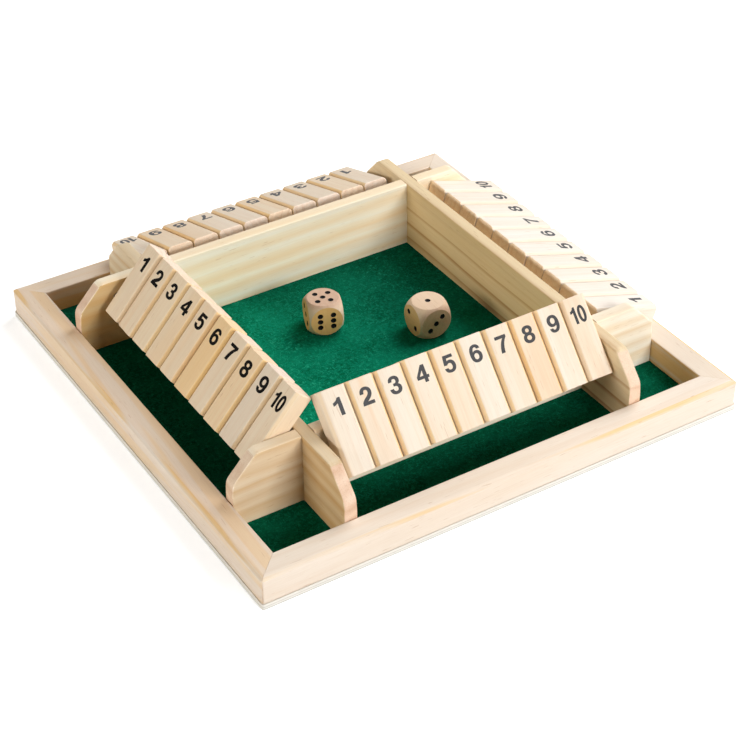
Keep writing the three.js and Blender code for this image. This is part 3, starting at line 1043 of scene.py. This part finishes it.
def make_rows():
    tile_master = make_tile()
    for side in sides:
        prints = make_numbers(numeral_boldness[side])
        tilt = raised_tilt if side in raised_sides else lowered_tilt
        for number in range(1, tiles_per_row + 1):
            node = f"tile_{side}_{number:02d}"
            low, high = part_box(node)
            middle = turn_to(side).inverted() @ ((low + high) / 2)
            outermost = number in (1, tiles_per_row)
            slack = 0 if outermost else row_shake
            aside = workshop.uniform(-slack, slack)
            leaning = workshop.uniform(-slack, slack) / tile_length
            slip = row_slip * workshop.uniform(-1, 1) * (slack > 0)
            place = (
                turn_to(side)
                @ Matrix.Translation((middle.x + aside, axle_middle.y, axle_middle.z))
                @ Matrix.Rotation(tilt, 4, "X")
                @ Matrix.Rotation(leaning, 4, "Y")
                @ Matrix.Translation((0, 0, slip))
            )
            tile = copy_of(tile_master, f"{node}_wood")
            pith = (workshop.uniform(*pith_out), workshop.uniform(*pith_aside))
            start, roll = workshop.uniform(0, log_length), workshop.uniform(0, 2 * math.pi)
            log = place_in_log("Z", pith, start, roll)
            # The chamfers' tan is a painted shade of the grooves between tiles, less on the
            # outermost tiles of a raised row.
            chamfer_shade = chamfer_shades[side]
            if outermost and side in raised_sides:
                chamfer_shade *= outermost_share
            brown_end = brown_ends[side] * workshop.uniform(*brown_spread)
            lay_grain(tile, log, tile_tone(*tile_tones[side][number - 1], chamfer_shade, brown_end))
            tile.data.transform(place)
            # The right row gets the paler copy of the tile wood, a painted light.
            dress(tile, lit_tile_wood if side == "right" else tile_wood, node, [node])
            ink = copy_of(prints[number], f"number_{side}_{number:02d}")
            print_aside, print_up = (workshop.uniform(-1, 1) * print_shake for _ in range(2))
            if node == "tile_back_10":
                print_up += back_ten_print_shift
            ink.data.transform(place @ Matrix.Translation((print_aside, 0, print_up)))
            # The left row's numbers get the darker ink, a painted shade.
            dress(ink, ink_painted_shaded if side == "left" else grey_ink, node)
        put_away(*prints.values())
    put_away(tile_master)


# ---- Dice ----

pip_corners = [(-1, -1), (-1, 1), (1, -1), (1, 1)]
pip_places = {
    1: [(0, 0)],
    2: [(-1, 1), (1, -1)],
    3: [(-1, -1), (0, 0), (1, 1)],
    4: pip_corners,
    5: [*pip_corners, (0, 0)],
    6: [*pip_corners, (-1, 0), (1, 0)],
}
x_axis, y_axis, z_axis = Vector((1, 0, 0)), Vector((0, 1, 0)), Vector((0, 0, 1))
# The way out of each face, the way across its pips, and how many it has
die_faces = [
    (z_axis, x_axis, 1), (-x_axis, -y_axis, 2), (-y_axis, x_axis, 3),
    (y_axis, -x_axis, 4), (x_axis, y_axis, 5), (-z_axis, y_axis, 6),
]


def make_die():
    """A die round the origin with the one on top: a cube turned down to a ball at its corners, with
    painted dimples for pips."""
    half = die_side / 2
    die = start_block("die", (-half,) * 3, (half,) * 3)
    cut_with(die, start_ball("turning", die_ball_radius, (0, 0, 0), 96), "INTERSECT")
    break_edges(die, die_edge_radius, 3, 30)
    die.data.materials.append(dice_wood)
    ball_radius = (pip_radius ** 2 + pip_depth ** 2) / (2 * pip_depth)
    for out, across, count in die_faces:
        up = out.cross(across)
        for right, high in pip_places[count]:
            on_face = (across * right + up * high) * pip_spacing
            middle = out * (half + ball_radius - pip_depth) + on_face
            dimple = start_ball("dimple", ball_radius, middle, 32)
            dimple.data.materials.append(pip_paint)
            cut_with(die, dimple, leaves_finish=True)
    smooth(die, 30)
    return die


def die_one_tone(face):
    """Painted golden on the faces with the six and the three, which face the front and the left: a
    painted warm shade.
    """
    return (0.9 * (face.normal.z < -0.9 or face.normal.y < -0.9), 0.1 * (face.normal.x > 0.9), 0.1)


def die_two_tone(face):
    """Painted golden on the face with the two and a little so on the three, which face the left and
    the front: a painted warm shade. Pinkish all over.
    """
    return (0.7 * (face.normal.x < -0.9) + 0.1 * (face.normal.y < -0.9), 0.2, 0.1)


die_pith, die_log_start = (0.02, 0.011), 0.3
# For each die: where its own x, y and z point, where it lies, its turn, its grain and its tones
dice = {
    "die_one": ((z_axis, x_axis, y_axis), (-4.4 * mm, 35.9 * mm), -0.31, "X", die_one_tone),
    "die_two": ((x_axis, y_axis, z_axis), (44.8 * mm, 0.3 * mm), -0.05, "Y", die_two_tone),
}


def make_dice():
    master = make_die()
    half = die_side / 2
    for number, (node, (axes, (x, y), turn, along, tone)) in enumerate(dice.items()):
        die = copy_of(master, f"{node}_wood")
        lay_grain(die, place_in_log(along, die_pith, die_log_start + number), tone)
        to_axes = Matrix(axes).transposed().to_4x4()
        place = Matrix.Translation((x, y, felt_high.z + half)) @ Matrix.Rotation(turn, 4, "Z")
        die.data.transform(place @ to_axes)
        finish_off(die, node, [node])
    put_away(master)


# ---- Stage, light and camera ----

floor_side = 12
floor_grey = linear(236, 236, 236)
floor_glow = 0.55
studio_fill = 0.06
# For each light: the way it shines from, how far it hangs, its width and height, watts and tint
lights = {
    "high right light": ((0.66, 0.18, 0.74), 1.4, 0.9, 0.9, 16.2, (1, 1, 1)),
    "low front light": ((0.22, -0.90, 0.40), 1.8, 0.9, 0.5, 24.5, (1, 1, 1)),
    "low left light": ((-0.93, 0.10, 0.34), 1.8, 1.2, 0.32, 17, (1, 0.97, 0.9)),
}
camera_place = (-0.45777, -0.75060, 0.63983)
camera_turn = (53.5074, 0.3599, -32.1139)
lens_length = 90.916
film_width = 36


def seen_rays(nodes, links):
    """1 where the camera sees something, also in a mirror or through glass, and 0 for light that
    goes from one surface to another."""
    ray = nodes.new("ShaderNodeLightPath")
    seen = ray.outputs["Is Camera Ray"]
    for kind in ("Is Glossy Ray", "Is Transmission Ray"):
        either = nodes.new("ShaderNodeMath")
        either.operation = "MAXIMUM"
        links.new(seen, either.inputs[0])
        links.new(ray.outputs[kind], either.inputs[1])
        seen = either.outputs[0]
    return seen


def make_stage():
    """A sheet of paper that shows white and still takes shadows. It glows a little less near the
    tray."""
    bpy.ops.object.select_all(action="DESELECT")
    bpy.ops.mesh.primitive_plane_add(size=floor_side, location=(0, 0, 0))
    floor = bpy.context.active_object
    floor.name = "floor"
    paper = Finish("floor paper", 0.9, Specular_IOR_Level=0.0)
    paper.colour(floor_grey)
    glow = paper.nodes.new("ShaderNodeEmission")
    away = paper.vectors("LENGTH", paper.place(), output="Value")
    strength = paper.fade(away, 1.6 * tray_half, 4 * tray_half, floor_glow, 1)
    seen = seen_rays(paper.nodes, paper.links)
    paper.feed(glow.inputs["Strength"], paper.sum("MULTIPLY", seen, strength))
    both = paper.nodes.new("ShaderNodeAddShader")
    paper.links.new(paper.shader.outputs[0], both.inputs[0])
    paper.links.new(glow.outputs[0], both.inputs[1])
    paper.links.new(both.outputs[0], paper.nodes["Material Output"].inputs["Surface"])
    floor.data.materials.append(paper.material)


def add_light(name, direction, distance, width, height, watts, tint):
    """A soft panel of light that faces the tray from a direction."""
    light = bpy.data.lights.new(name, "AREA")
    light.shape = "RECTANGLE"
    light.size = width
    light.size_y = height
    light.energy = watts
    light.color = tint
    lamp = bpy.data.objects.new(name, light)
    bpy.context.collection.objects.link(lamp)
    towards = Vector(direction).normalized()
    lamp.location = towards * distance
    lamp.rotation_euler = towards.to_track_quat("Z", "Y").to_euler()


def make_light():
    """The lights, and a studio that shows white and sheds little light of its own."""
    for name, light in lights.items():
        add_light(name, *light)
    world = bpy.data.worlds.new("studio")
    bpy.context.scene.world = world
    world.use_nodes = True
    nodes, links = world.node_tree.nodes, world.node_tree.links
    background = nodes["Background"]
    background.inputs["Color"].default_value = (1, 1, 1, 1)
    strength = nodes.new("ShaderNodeMapRange")
    strength.inputs["To Min"].default_value = studio_fill
    strength.inputs["To Max"].default_value = 1.0
    links.new(seen_rays(nodes, links), strength.inputs["Value"])
    links.new(strength.outputs["Result"], background.inputs["Strength"])


def make_camera():
    lens = bpy.data.cameras.new("camera")
    lens.lens = lens_length
    lens.sensor_width = film_width
    lens.clip_start = 0.05
    lens.clip_end = 30
    camera = bpy.data.objects.new("camera", lens)
    bpy.context.collection.objects.link(camera)
    camera.location = camera_place
    camera.rotation_euler = [math.radians(angle) for angle in camera_turn]
    bpy.context.scene.camera = camera


make_camera()
make_light()
make_stage()
make_base()
make_rails()
make_felt()
make_boards()
make_axles()
make_rows()
make_dice()

bpy.context.scene.view_settings.view_transform = "Standard"
